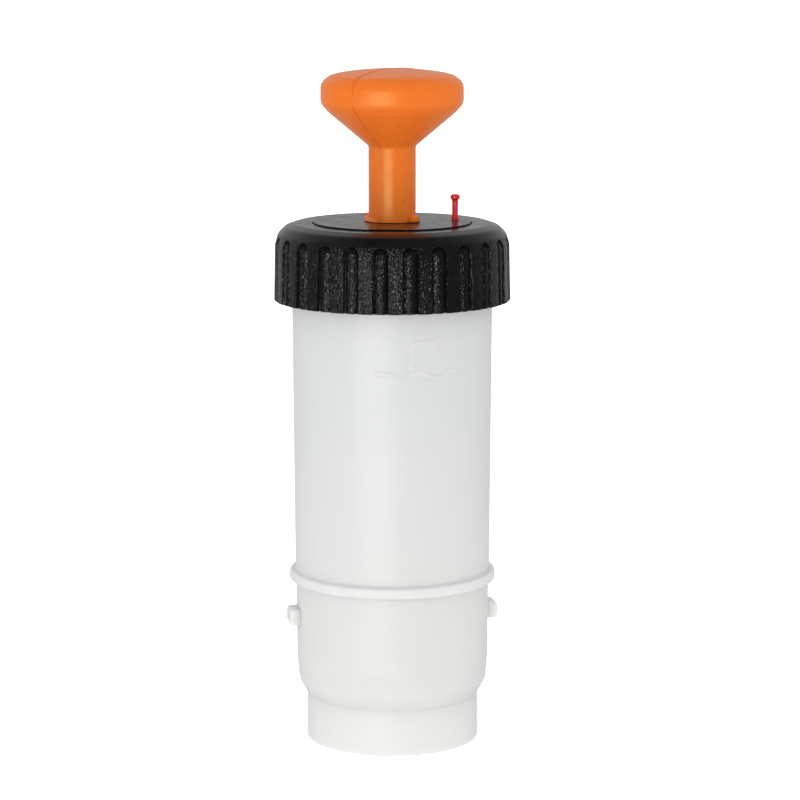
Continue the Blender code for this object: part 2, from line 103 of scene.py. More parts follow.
def turned(name, outline, angles=96, warp=None, place=(0, 0, 0)):
    """A piece turned about Z from an outline in mm, down its outer side and up its inner one.

    warp(angle, radius, height) gives the radius and height of a point that departs from the turned form.
    """
    if isinstance(angles, int):
        angles = even_angles(angles)
    last = len(outline) - 1
    shape = bmesh.new()
    columns = []
    poles = {}
    for angle in angles:
        column = []
        for k, (radius, height) in enumerate(outline):
            if radius == 0:
                if k not in poles:
                    poles[k] = shape.verts.new(Vector((0, 0, height)) * MM)
                column.append(poles[k])
                continue
            if warp:
                radius, height = warp(angle, radius, height)
            spot = Vector((radius * math.cos(angle), radius * math.sin(angle), height))
            column.append(shape.verts.new(spot * MM))
        columns.append(column)
    spans = last if outline[0][0] == 0 else last + 1
    for i, column in enumerate(columns):
        beside = columns[(i + 1) % len(columns)]
        for k in range(spans):
            below = (k + 1) % (last + 1)
            corners = dict.fromkeys([column[k], column[below], beside[below], beside[k]])
            if len(corners) > 2:
                shape.faces.new(list(corners))
    bmesh.ops.recalc_face_normals(shape, faces=shape.faces)
    return finished(shape, name, place)


def finished(shape, name, place=(0, 0, 0)):
    """Turns a bmesh into a smooth-shaded object, with its origin at place in mm."""
    mesh = bpy.data.meshes.new(name)
    shape.to_mesh(mesh)
    shape.free()
    smooth_shaded(mesh)
    item = bpy.data.objects.new(name, mesh)
    item.location = Vector(place) * MM
    bpy.context.scene.collection.objects.link(item)
    return item


def smooth_shaded(mesh):
    """Smooth shading, with edges of over 40 degrees left sharp."""
    mesh.shade_smooth()
    mesh.set_sharp_from_angle(angle=math.radians(40))


def evenly_shaded(item):
    """Keeps flat faces flat beside their fillets: the larger faces set the normals."""
    weigh = item.modifiers.new("weigh", "WEIGHTED_NORMAL")
    weigh.keep_sharp = True
    weigh.weight = 90
    apply_modifiers(item)


def apply_modifiers(item):
    """The mesh becomes what its modifiers make of it."""
    bpy.context.view_layer.update()
    graph = bpy.context.evaluated_depsgraph_get()
    result = item.evaluated_get(graph)
    mesh = bpy.data.meshes.new_from_object(result, preserve_all_data_layers=True, depsgraph=graph)
    item.modifiers.clear()
    item.data = mesh


def soft_block(name, size, centre, azimuth, bevel, lean=0):
    """A rounded block turned to an azimuth, of a size in mm along the radius, across it and up.

    lean tips its outer side down, in degrees.
    """
    shape = bmesh.new()
    bmesh.ops.create_cube(shape, size=1.0)
    bmesh.ops.scale(shape, vec=Vector(size) * MM, verts=shape.verts)
    bmesh.ops.bevel(shape, geom=shape.edges[:], offset=bevel * MM, segments=4, profile=0.5,
                    affect="EDGES")
    turn = Matrix.Rotation(math.radians(azimuth - 90), 4, "Z") @ Matrix.Rotation(math.radians(lean), 4, "Y")
    bmesh.ops.transform(shape, matrix=Matrix.Translation(Vector(centre) * MM) @ turn, verts=shape.verts)
    return finished(shape, name)


def cut_away(item, tools):
    """Cuts the tools out of a piece for good, and removes them."""
    for tool in tools:
        cut = item.modifiers.new(tool.name, "BOOLEAN")
        cut.object = tool
        cut.operation = "DIFFERENCE"
        cut.solver = "EXACT"
    apply_modifiers(item)
    smooth_shaded(item.data)
    for tool in tools:
        bpy.data.objects.remove(tool)


def drill(name, radius, low, high, place):
    """An upright round cutter at (x, y) in mm."""
    return turned(name, [(0, high), (radius, high), (radius, low), (0, low)], 32, place=(*place, 0))


def azimuth_of(angle):
    """The azimuth of a mesh angle about Z."""
    return (math.degrees(angle) + 90) % 360


def signed(degrees):
    """The same direction, from -180 to 180."""
    return (degrees + 180) % 360 - 180


def smoothstep(value):
    """Eases from 0 to 1 as value goes from 0 to 1, and stays there past them."""
    value = min(1.0, max(0.0, value))
    return value * value * (3 - 2 * value)


def at_azimuth(azimuth, radius, height):
    """A point in mm, from its azimuth, its distance from the axis and its height."""
    angle = math.radians(azimuth)
    return Vector((radius * math.sin(angle), -radius * math.cos(angle), height))


def stands_for(item, node, material):
    """The piece takes a CAD node's place: its body and the given material."""
    evenly_shaded(item)
    painted(item, material)
    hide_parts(node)
    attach(item, body_of[node])


def goes_with(item, node, material):
    """A detail that rides on the same body as a CAD node, in the same slot."""
    evenly_shaded(item)
    painted(item, material)
    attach(item, body_of[node])


def painted(item, material):
    """The piece has this material and no other."""
    item.data.materials.clear()
    item.data.materials.append(material)


# ---------------------------------------------------------------- materials

def principled(name, **sockets):
    """A material with one Principled BSDF; returns the material, its node tree and its shader."""
    material = bpy.data.materials.new(name)
    material.use_nodes = True
    tree = material.node_tree
    shader = tree.nodes["Principled BSDF"]
    for socket, value in sockets.items():
        shader.inputs[socket.replace("_", " ")].default_value = value
    return material, tree, shader


def noise(tree, scale, detail=3.0, stretch=(1, 1, 1)):
    """Noise fixed to the object, with its scale in features a metre; stretch drags it along an axis."""
    coordinates = tree.nodes.new("ShaderNodeTexCoord")
    mapping = tree.nodes.new("ShaderNodeMapping")
    mapping.inputs["Scale"].default_value = stretch
    texture = tree.nodes.new("ShaderNodeTexNoise")
    texture.inputs["Scale"].default_value = scale
    texture.inputs["Detail"].default_value = detail
    tree.links.new(coordinates.outputs["Object"], mapping.inputs["Vector"])
    tree.links.new(mapping.outputs["Vector"], texture.inputs["Vector"])
    return texture.outputs["Fac"]


def ranged(tree, value, low, high, from_low=0.3, from_high=0.7):
    """value, mapped from its useful range to low..high."""
    node = tree.nodes.new("ShaderNodeMapRange")
    node.inputs["From Min"].default_value = from_low
    node.inputs["From Max"].default_value = from_high
    node.inputs["To Min"].default_value = low
    node.inputs["To Max"].default_value = high
    tree.links.new(value, node.inputs["Value"])
    return node.outputs["Result"]


def mixed(tree, factor, first, second):
    """A colour between first, which is a colour or a socket, and second."""
    node = tree.nodes.new("ShaderNodeMix")
    node.data_type = "RGBA"
    tree.links.new(factor, node.inputs["Factor"])
    if isinstance(first, tuple):
        node.inputs["A"].default_value = (*first, 1.0)
    else:
        tree.links.new(first, node.inputs["A"])
    node.inputs["B"].default_value = (*second, 1.0)
    return node.outputs["Result"]


def height_along_z(tree):
    """The object's Z at the shaded point, in metres."""
    coordinates = tree.nodes.new("ShaderNodeTexCoord")
    split = tree.nodes.new("ShaderNodeSeparateXYZ")
    tree.links.new(coordinates.outputs["Object"], split.inputs["Vector"])
    return split.outputs["Z"]


def multiplied(tree, first, second):
    """The product of two sockets."""
    node = tree.nodes.new("ShaderNodeMath")
    node.operation = "MULTIPLY"
    tree.links.new(first, node.inputs[0])
    tree.links.new(second, node.inputs[1])
    return node.outputs["Value"]


def bumped(tree, shader, height, distance, strength=1.0):
    """Adds a bump of that many mm to the shader's normal, on top of any bump already there."""
    node = tree.nodes.new("ShaderNodeBump")
    node.inputs["Distance"].default_value = distance * MM
    node.inputs["Strength"].default_value = strength
    tree.links.new(height, node.inputs["Height"])
    before = shader.inputs["Normal"].links
    if before:
        tree.links.new(before[0].from_socket, node.inputs["Normal"])
    tree.links.new(node.outputs["Normal"], shader.inputs["Normal"])


def clouded(tree, scale, first, second, detail=4.0):
    """A colour that drifts between two tones in soft clouds."""
    return mixed(tree, ranged(tree, noise(tree, scale, detail), 0, 1), first, second)


def coloured(tree, shader, colour):
    """The shader's base colour comes from a socket."""
    tree.links.new(colour, shader.inputs["Base Color"])


def unevenly_glossy(tree, shader, scale, low, high, detail=4.0):
    """The shader's roughness wanders between two values."""
    tree.links.new(ranged(tree, noise(tree, scale, detail), low, high), shader.inputs["Roughness"])


def moulded_skin(tree, shader):
    """The faint waves and the fine texture that a mould leaves."""
    bumped(tree, shader, noise(tree, 55, detail=2), 0.08, 0.3)
    bumped(tree, shader, noise(tree, 1300, detail=2), 0.014, 0.4)


def milky_plastic():
    """Natural blow-moulded plastic: light goes deep, and higher up its colour is painted cooler and darker in
    soft clouds, as painted shade from the nut above.
    """
    material, tree, shader = principled("milky_plastic", IOR=1.5, Specular_IOR_Level=0.3,
                                        Subsurface_Weight=0.75, Subsurface_Scale=0.0045,
                                        Subsurface_Radius=(1.0, 1.0, 1.0))
    warm_white = (0.724, 0.725, 0.715)
    # Painted shade: a cooler, darker white that takes over higher up the wall, where the nut shades it,
    # broken up by the cloud noise.
    shaded_white = (0.670, 0.683, 0.690)
    cloud = ranged(tree, noise(tree, 22), 0.7, 1.0)
    painted_shade_upward = ranged(tree, height_along_z(tree), 0.0, 1.0, from_low=0.05, from_high=0.15)
    coloured(tree, shader, mixed(tree, multiplied(tree, cloud, painted_shade_upward), warm_white, shaded_white))
    unevenly_glossy(tree, shader, 160, 0.30, 0.42, detail=5)
    bumped(tree, shader, noise(tree, 45, detail=2), 0.10, 0.35)
    bumped(tree, shader, noise(tree, 900, detail=2), 0.012, 0.4)
    return material


def black_plastic():
    """Smooth black moulding with a faint uneven gloss."""
    material, tree, shader = principled("black_plastic", IOR=1.5)
    coloured(tree, shader, clouded(tree, 60, (0.0075, 0.0060, 0.0060), (0.0125, 0.0098, 0.0094)))
    unevenly_glossy(tree, shader, 240, 0.19, 0.29, detail=5)
    bumped(tree, shader, noise(tree, 1500, detail=2), 0.010, 0.4)
    return material


def grained_black_plastic():
    """The nut's black: a coarse spark grain on its side, which fades out above the flutes."""
    material, tree, shader = principled("grained_black_plastic", IOR=1.5)
    coloured(tree, shader, clouded(tree, 60, (0.0055, 0.0055, 0.0060), (0.0085, 0.0082, 0.0085)))
    unevenly_glossy(tree, shader, 240, 0.17, 0.27, detail=5)
    side = ranged(tree, height_along_z(tree), 1.0, 0.0, from_low=FLUTE_TOP * MM, from_high=GRAIN_TOP * MM)
    bumped(tree, shader, noise(tree, 1500, detail=2), 0.010, 0.4)
    bumped(tree, shader, multiplied(tree, noise(tree, 1500, detail=0), side), 0.44)
    return material


def orange_plastic():
    """Saturated orange moulding: red light spreads inside it, and a painted shadow lines the right side of
    its parting line.
    """
    material, tree, shader = principled("orange_plastic", IOR=1.5, Specular_Tint=(0.60, 0.90, 0.40, 1.0),
                                        Subsurface_Weight=0.4, Subsurface_Scale=0.004,
                                        Subsurface_Radius=(1.0, 0.25, 0.1))
    plain_orange = clouded(tree, 40, (0.84, 0.180, 0.020), (0.87, 0.196, 0.024))
    # Painted shadow: a darker orange in a thin line beside the parting line's ridge, on its shaded side.
    seam_shade = (0.62, 0.075, 0.010)
    coloured(tree, shader, mixed(tree, painted_seam_shade(tree), plain_orange, seam_shade))
    unevenly_glossy(tree, shader, 200, 0.27, 0.36)
    moulded_skin(tree, shader)
    return material


def painted_seam_shade(tree):
    """0.75 in a thin line along the right side of the handle's parting line, and 0 away from it: the mask of
    the painted shadow beside the ridge.
    """
    azimuth = math.radians(SEAM_AZIMUTH)
    coordinates = tree.nodes.new("ShaderNodeTexCoord")
    across = tree.nodes.new("ShaderNodeVectorMath")
    across.operation = "DOT_PRODUCT"
    across.inputs[1].default_value = (math.cos(azimuth), math.sin(azimuth), 0.0)
    tree.links.new(coordinates.outputs["Object"], across.inputs[0])
    beside = tree.nodes.new("ShaderNodeMath")
    beside.operation = "SUBTRACT"
    beside.inputs[1].default_value = SEAM_SHADE_OFFSET * MM
    tree.links.new(across.outputs["Value"], beside.inputs[0])
    away = tree.nodes.new("ShaderNodeMath")
    away.operation = "ABSOLUTE"
    tree.links.new(beside.outputs["Value"], away.inputs[0])
    return ranged(tree, away.outputs["Value"], 0.75, 0.0, from_low=0.10 * MM, from_high=0.30 * MM)


def coloured_plastic(name, colour, roughness, spread):
    """A satin moulded plastic: faint mottle, uneven gloss and a fine mould texture."""
    material, tree, shader = principled(name, IOR=1.5)
    darker = tuple(c * (1 - spread) for c in colour)
    lighter = tuple(min(1.0, c * (1 + spread * 0.5)) for c in colour)
    coloured(tree, shader, clouded(tree, 40, darker, lighter))
    unevenly_glossy(tree, shader, 200, roughness - 0.05, roughness + 0.07)
    moulded_skin(tree, shader)
    return material


def rubber():
    """Matt moulded rubber with a dusty, fine-grained skin."""
    material, tree, shader = principled("black_rubber", Specular_IOR_Level=0.3)
    coloured(tree, shader, clouded(tree, 90, (0.014, 0.014, 0.014), (0.027, 0.026, 0.025), detail=3))
    unevenly_glossy(tree, shader, 260, 0.62, 0.82)
    bumped(tree, shader, noise(tree, 1200), 0.03, 0.6)
    return material


def metal(name, colour, roughness, stretch):
    """A bright metal whose brush or turning lines follow the noise's stretch."""
    material, tree, shader = principled(name, Metallic=1.0)
    lines = noise(tree, 900, stretch=stretch)
    tree.links.new(ranged(tree, lines, roughness - 0.08, roughness + 0.12), shader.inputs["Roughness"])
    darker = tuple(c * 0.88 for c in colour)
    coloured(tree, shader, clouded(tree, 70, darker, colour))
    bumped(tree, shader, lines, 0.01, 0.5)
    return material


# ---------------------------------------------------------------- vessel

VESSEL_TOP = 214.1
THREAD_CORE = 41.8
THREAD_CREST = 43.6
THREAD_START = 194.5
THREAD_PITCH = 6.0
THREAD_TURNS = 2.0
THREAD_LOW = 191.2
WALL_TOP = 190.8
WALL_TOP_RADIUS = 42.4
WAIST = 73.9
WAIST_RADIUS = 41.55
RING_TOP = 73.6
RING_BOTTOM = 69.4
RING_RADIUS = 44.05
SPIGOT_TOP = 19.6
SPIGOT_RADIUS = 36.9
FLOOR_UNDERSIDE = 14.0
FLOOR_TOP = 16.8
BAYONET_AZIMUTHS = {"left": -80.0, "right": 100.0}
BAYONET_RADIUS = 41.6
BAYONET_HEIGHT = 54.2
BAYONET_SIZE = (7.2, 12.0, 7.2)


def thread_height(angle, height, start, turns):
    """How far the thread's ridge stands up at a point, from 0 to 1."""
    turn = angle / (2 * math.pi)
    along = (height - start) / THREAD_PITCH - turn
    nearest = round(along)
    position = nearest + turn
    run_in = min(1.0, position / 0.15, (turns - position) / 0.15)
    if nearest < 0 or run_in <= 0:
        return 0.0
    off = abs(along - nearest) * THREAD_PITCH
    return smoothstep((1.25 - off) / 0.75) * run_in


def make_vessel(material):
    """The milky shell: threaded mouth, tapered wall, stop ring, shoulder, spigot, floor, lugs and mark."""
    mouth = [(41.2, VESSEL_TOP, 0.5), (THREAD_CORE, VESSEL_TOP, 0.5), (THREAD_CORE, THREAD_LOW, 0.3)]
    wall = [(WALL_TOP_RADIUS, WALL_TOP, 0.3), (wall_radius(MARK_TOP), MARK_TOP),
            (wall_radius(MARK_BOTTOM), MARK_BOTTOM), (WAIST_RADIUS, WAIST, 1.1)]
    stop_ring = [(RING_RADIUS, RING_TOP, 1.5), (RING_RADIUS, RING_BOTTOM, 1.5), (41.2, 69.3, 0.6)]
    foot = [(41.0, 36.0, 9.0), (40.2, 26.0, 6.5), (36.7, SPIGOT_TOP, 0.9), (SPIGOT_RADIUS, 0.0, 0.9)]
    inner = [(34.3, 0.0, 0.4), (34.1, FLOOR_UNDERSIDE, 1.0), (9.6, FLOOR_UNDERSIDE, 0.3), (9.6, 15.0),
             (12.4, 15.0), (12.4, FLOOR_TOP, 0.3), (33.8, FLOOR_TOP, 3.0), (38.0, 29.0, 8.0), (38.5, 36.0),
             (39.4, VESSEL_TOP, 0.4)]

    def on_thread(radius, height):
        return abs(radius - THREAD_CORE) < 0.01 and THREAD_LOW < height < VESSEL_TOP

    def on_mark(radius, height):
        return radius > 41 and MARK_BOTTOM - 0.01 < height < MARK_TOP + 0.01

    def warp(angle, radius, height):
        if on_thread(radius, height):
            radius += (THREAD_CREST - THREAD_CORE) * thread_height(angle, height, THREAD_START, THREAD_TURNS)
        elif on_mark(radius, height):
            across = math.radians(signed(azimuth_of(angle) - MARK_AZIMUTH)) * radius
            radius += mark_rise(across, height)
        return radius, height

    corners = mouth + wall + stop_ring + foot + inner
    outline = refined(rounded(corners), 6.0, 0.35, lambda *spot: on_thread(*spot) or on_mark(*spot))
    shell = turned("vessel_shell", outline, patched_angles(144, MARK_AZIMUTH, MARK_SPAN, 0.45), warp)
    stands_for(shell, "vessel_body", material)
    for side, azimuth in BAYONET_AZIMUTHS.items():
        centre = at_azimuth(azimuth, BAYONET_RADIUS, BAYONET_HEIGHT)
        lug = soft_block("bayonet_lug_" + side, BAYONET_SIZE, centre, azimuth, 1.6)
        goes_with(lug, "vessel_body", material)


# A plain moulded water sign on the wall: half widths and routes of its lines, as (across, height) in mm.
MARK_AZIMUTH = 15.5
MARK_SPAN = 27.5
MARK_TOP = 183.0
MARK_BOTTOM = 160.5
MARK_RISE = 0.24
MARK_LINES = (
    (0.55, [(s, 163.4 + 1.3 * math.sin(math.pi * (s + 19.0) / 7.6)) for s in range(-18, 19)]),
    (1.0, [(6.3, 176.9), (-0.6, 176.9), (-2.2, 176.3), (-2.9, 174.9), (-2.9, 171.9)]),
    (0.55, [(1.9, 177.5), (1.9, 179.6)]),
    (0.55, [(-0.6, 179.8), (4.4, 179.8)]),
    (0.6, [(7.0, 174.0), (7.0, 179.6)]),
    (1.15, [(-2.9, 166.6), (-2.9, 166.9)]),
    (0.45, [(-2.9, 167.4), (-2.9, 168.9)]),
)


def wall_radius(height):
    """The vessel's outer radius in mm between its waist and the thread."""
    return WAIST_RADIUS + (WALL_TOP_RADIUS - WAIST_RADIUS) * (height - WAIST) / (WALL_TOP - WAIST)


def off_line(spot, route):
    """The distance from a spot to the nearest stretch of a route."""
    nearest = 1000.0
    for start, end in zip(route, route[1:]):
        along = Vector(end) - Vector(start)
        share = min(1.0, max(0.0, (spot - Vector(start)).dot(along) / along.length_squared))
        nearest = min(nearest, (spot - Vector(start) - along * share).length)
    return nearest


def mark_rise(across, height):
    """How far the moulded mark stands off the wall, in mm, at a distance round it from the mark's middle."""
    if abs(across) > 20:
        return 0.0
    spot = Vector((across, height))
    shares = [smoothstep((half + 0.3 - off_line(spot, route)) / 0.6) for half, route in MARK_LINES]
    return MARK_RISE * max(shares)


def patched_angles(count, azimuth, half_span, step):
    """Even angles, with closer ones (step in degrees) over a patch of the wall."""
    middle = (azimuth - 90) % 360
    apart = [math.degrees(angle) for angle in even_angles(count)]
    angles = [angle for angle in apart if abs(signed(angle - middle)) > half_span + 0.5]
    steps = round(half_span / step)
    angles += [(middle + step * i) % 360 for i in range(-steps, steps + 1)]
    return [math.radians(angle) for angle in sorted(angles)]


# ---------------------------------------------------------------- union nut

NUT_BOTTOM = 189.9
NUT_TOP = 222.4
NUT_BORE = 44.9
NUT_LIP = 33.8
NUT_THREAD_LOW = 190.6
NUT_THREAD_HIGH = 202.4
NUT_THREAD_DEPTH = 2.0
NUT_THREAD_TURNS = 1.5
FLUTES = 25
FLUTE_AZIMUTH = -5.5
FLUTE_HALF = 3.35
FLUTE_TOP = 217.2
GRAIN_TOP = 218.8
FINGER_HALF = 2.7
FINGER_CURVE = 3.4
FINGER_DROP = 0.1
GROOVE_DEPTH = 1.8
COLUMNS_PER_FLUTE = 48


def finger_depth(off):
    """How far a finger's round face lies below the nut's surface, in mm."""
    return FINGER_DROP + FINGER_CURVE - math.sqrt(FINGER_CURVE ** 2 - off ** 2)


def flute_depth(off):
    """How far the nut's surface drops at a distance from a flute's middle line, in mm."""
    if off < FINGER_HALF:
        return finger_depth(off)
    foot = finger_depth(FINGER_HALF)
    share = (off - FINGER_HALF) / (FLUTE_HALF - FINGER_HALF)
    if share < 0.35:
        return foot + (GROOVE_DEPTH - foot) * smoothstep(share / 0.35)
    return GROOVE_DEPTH * (1 - smoothstep((share - 0.35) / 0.65))


def make_union_nut(material):
    """The nut's grip: each flute is a half-round finger between two grooves, round at its upper end."""
    crown = [(NUT_LIP, NUT_TOP, 0.25), (41.2, NUT_TOP, 3.0), (45.2, 221.1, 4.0), (48.2, 218.2, 4.5),
             (49.5, 213.6, 3.0)]
    skirt = [(50.0, NUT_BOTTOM, 0.45), (NUT_BORE, NUT_BOTTOM, 0.5), (NUT_BORE, 213.4), (44.2, 213.9),
             (44.2, 214.5), (NUT_BORE, 214.9), (NUT_BORE, 219.8), (NUT_LIP, 219.8, 0.3)]
    outline = refined(rounded(crown + skirt), 2.0, 0.3, lambda radius, height: radius > 46 and height > 210)
    spacing = 360 / FLUTES

    def warp(angle, radius, height):
        if radius < NUT_BORE + 0.4:
            if abs(radius - NUT_BORE) < 0.01 and NUT_THREAD_LOW < height < NUT_THREAD_HIGH:
                start = THREAD_START - THREAD_PITCH / 2
                radius -= NUT_THREAD_DEPTH * thread_height(angle, height, start, NUT_THREAD_TURNS)
            return radius, height
        off = (azimuth_of(angle) - FLUTE_AZIMUTH + spacing / 2) % spacing - spacing / 2
        across = math.radians(off) * radius
        above = max(0.0, height - (FLUTE_TOP - FLUTE_HALF))
        return radius - flute_depth(math.hypot(across, above)), height

    nut = turned("nut_shell", outline, angles=FLUTES * COLUMNS_PER_FLUTE, warp=warp)
    stands_for(nut, "union_nut", material)


# ---------------------------------------------------------------- head, handle, pin and rod

DISC_TOP = 223.0
DISC_RADIUS = 33.35
FLANGE_TOP = 219.5
FLANGE_BOTTOM = 216.5
FLANGE_RADIUS = 44.3
EXHAUST_AZIMUTH = -4.5
NOTCH_LEAN = 14


def middle_of(node):
    """The middle of a CAD node's box, in mm."""
    low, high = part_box(node)
    return (low + high) / 2 / MM


def make_pump_head(material):
    """The head with its disc, flange, skirt, barrel socket and rod hub, and the holes in it."""
    disc = [(DISC_RADIUS, DISC_TOP, 0.3), (DISC_RADIUS, FLANGE_TOP), (FLANGE_RADIUS, FLANGE_TOP, 0.3),
            (FLANGE_RADIUS, FLANGE_BOTTOM, 0.3), (38.8, FLANGE_BOTTOM)]
    skirt = [(38.8, 208.0, 0.5), (36.4, 208.0, 0.4), (36.4, FLANGE_BOTTOM), (20.2, FLANGE_BOTTOM),
             (20.2, 206.5), (18.7, 206.5), (18.7, 215.0)]
    hub = [(11.5, 215.0), (11.5, 208.0), (8.9, 208.0), (8.9, 219.9), (9.4, 219.9), (9.4, DISC_TOP, 0.3)]
    head = turned("head_disc", refined(rounded(disc + skirt + hub, steps=3), 6.0), angles=160)
    pin = middle_of("relief_pin")
    rise = at_azimuth(EXHAUST_AZIMUTH, 15.2, 0)
    duct_centre = at_azimuth(EXHAUST_AZIMUTH, 26.5, 220.6)
    notch_centre = at_azimuth(EXHAUST_AZIMUTH, 34.95, 222.8)
    duct = soft_block("exhaust_duct", (25.0, 2.4, 2.0), duct_centre, EXHAUST_AZIMUTH, 0.2)
    notch = soft_block("exhaust_notch", (6.0, 15.0, 6.0), notch_centre, EXHAUST_AZIMUTH, 0.25, NOTCH_LEAN)
    cut_away(head, [drill("pin_hole", 1.8, 210, 230, pin[:2]),
                    drill("cage_socket", 4.9, 210, FLANGE_TOP, pin[:2]),
                    drill("exhaust_rise", 1.2, 210, 221.4, rise[:2]), duct, notch])
    stands_for(head, "pump_head", material)


SEAM_AZIMUTH = -33.0
SEAM_RISE = 0.24
SEAM_HALF = 0.26
# How far the painted shadow line lies from the parting line, in mm.
SEAM_SHADE_OFFSET = 0.28
LUG_AZIMUTH = 55.0
LUG_REACH = 12.7
LUG_WIDE = 4.2
LUG_TALL = 2.9
WEDGE_RISE = 2.7
NECK_RADIUS = 10.0
NECK_TOP = 254.8
KNOB_RADIUS = 30.1
CROWN_BOTTOM = 284.0
CONE_MIDDLE = 260.0
HANDLE_FOOT = 223.1
HANDLE_APEX = 287.1


def seam_angles(count, seams, spread=(0.12, 0.3, 0.5, 0.75, 1.05, 1.5, 2.1, 3.0)):
    """Even angles with extra ones close to each seam, so that a thin line stays crisp."""
    angles = [math.degrees(a) for a in even_angles(count)]
    for seam in seams:
        middle = (seam - 90) % 360
        angles += [(middle + side * s) % 360 for s in spread for side in (-1, 1)] + [middle]
    kept = []
    for angle in sorted(set(round(a, 4) for a in angles)):
        if not kept or angle - kept[-1] > 0.08:
            kept.append(angle)
    return [math.radians(a) for a in kept]


def foot_ramp(azimuth):
    """How far the foot's wedge has grown at an azimuth: from 0 at the seam to 1 at the lug behind it."""
    behind_seam = min((signed(seam - azimuth) % 360 for seam in (SEAM_AZIMUTH, SEAM_AZIMUTH + 180)))
    length = (SEAM_AZIMUTH - LUG_AZIMUTH) % 180
    return behind_seam / length if behind_seam < length else 0.0


def make_handle(material):
    """The mushroom handle in one piece, with its parting line, and two lugs and wedges on its foot."""
    crown = [(radius, HANDLE_APEX - 2.1 * (radius / 24.0) ** 2.2) for radius in (0, 6, 10, 14, 17, 20, 22.5)]
    rim = [(26.3, 284.3, 4.6), (KNOB_RADIUS, 281.2, 4.6), (KNOB_RADIUS, 272.7, 5.0), (27.2, 269.3, 5.0)]
    neck = [(NECK_RADIUS, NECK_TOP, 2.0), (NECK_RADIUS, HANDLE_FOOT, 0.35), (5.4, HANDLE_FOOT, 0.3)]
    bore = [(5.4, 226.5), (8.3, 226.5), (8.3, 244.5), (0, 244.5)]
    foot_top = HANDLE_FOOT + LUG_TALL + 0.6
    outline = refined(rounded(crown + rim + neck + bore, steps=8), 1.2, 0.3,
                      lambda radius, height: radius > 9 and height < foot_top + 1)

    def warp(angle, radius, height):
        azimuth = azimuth_of(angle)
        if radius < 9.3 and height < 250:
            return radius, height
        if height < foot_top:
            ramp = foot_ramp(azimuth)
            top = HANDLE_FOOT + (LUG_TALL - 0.2) * ramp
            radius += WEDGE_RISE * ramp * smoothstep((top + 0.3 - height) / 0.6)
        for seam in (SEAM_AZIMUTH, SEAM_AZIMUTH + 180):
            off = signed(azimuth - seam)
            if abs(off) < 90:
                across = radius * math.sin(math.radians(off))
                rise = SEAM_RISE * math.exp(-(across / SEAM_HALF) ** 2)
                if height > CROWN_BOTTOM:
                    height += rise * smoothstep((28 - radius) / 4)
                radius += rise * smoothstep((radius - 24) / 4) if height > CONE_MIDDLE else rise
        return radius, height

    angles = seam_angles(144, (SEAM_AZIMUTH, SEAM_AZIMUTH + 180))
    handle = turned("handle_grip", outline, angles=angles, warp=warp)
    stands_for(handle, "handle", material)
    depth = LUG_REACH - 8.8
    for side, azimuth in (("front", LUG_AZIMUTH), ("rear", LUG_AZIMUTH + 180)):
        centre = at_azimuth(azimuth, LUG_REACH - depth / 2, HANDLE_FOOT + LUG_TALL / 2)
        lug = soft_block("handle_lug_" + side, (depth, LUG_WIDE, LUG_TALL), centre, azimuth, 0.7)
        goes_with(lug, "handle", material)


def make_relief_pin(material):
    """The red pin with its button, stepped stem and collar."""
    button = [(0, 233.8), (1.5, 233.75, 0.8), (2.05, 233.1, 0.4), (2.05, 232.0, 0.3), (1.5, 231.6, 0.2)]
    stem = [(1.3, 231.2, 0.4), (1.25, 224.8, 0.4), (1.5, 224.3, 0.3), (1.5, 221.8, 0.2), (1.2, 221.4)]
    collar = [(1.2, 217.1), (2.9, 217.1, 0.1), (2.9, 216.2, 0.1), (1.2, 216.2), (1.2, 203.2, 0.3), (0, 202.8)]
    pin = middle_of("relief_pin")
    outline = refined(rounded(button + stem + collar), 1.5)
    piece = turned("relief_button", outline, angles=48, place=(pin.x, pin.y, 0))
    stands_for(piece, "relief_pin", material)


def make_rod(material):
    """The rod, with its stubs for the handle's insert and for the piston."""
    outline = [(0, 243.5), (3.9, 243.5, 0.4), (3.9, 226.5), (5.0, 226.5, 0.2), (5.0, 62.5, 0.2), (3.0, 62.5),
               (3.0, 38.5, 0.4), (0, 38.5)]
    rod = turned("plunger_shaft", refined(rounded(outline, steps=3), 8.0), angles=72)
    stands_for(rod, "plunger_rod", material)


# ---------------------------------------------------------------- pieces inside the vessel

def ring(inner, outer, bottom, top, fillet=0.3):
    """The outline of a plain ring with rounded corners."""
    middle = (inner + outer) / 2
    return [(middle, top), (outer, top, fillet), (outer, bottom, fillet), (inner, bottom, fillet),
            (inner, top, fillet)]


def o_ring(middle, height, thickness):
    """The outline of a round-section ring."""
    half = thickness / 2
    turns = [math.radians(90 - 360 * i / 24) for i in range(24)]
    return [(middle + half * math.cos(a), height + half * math.sin(a)) for a in turns]


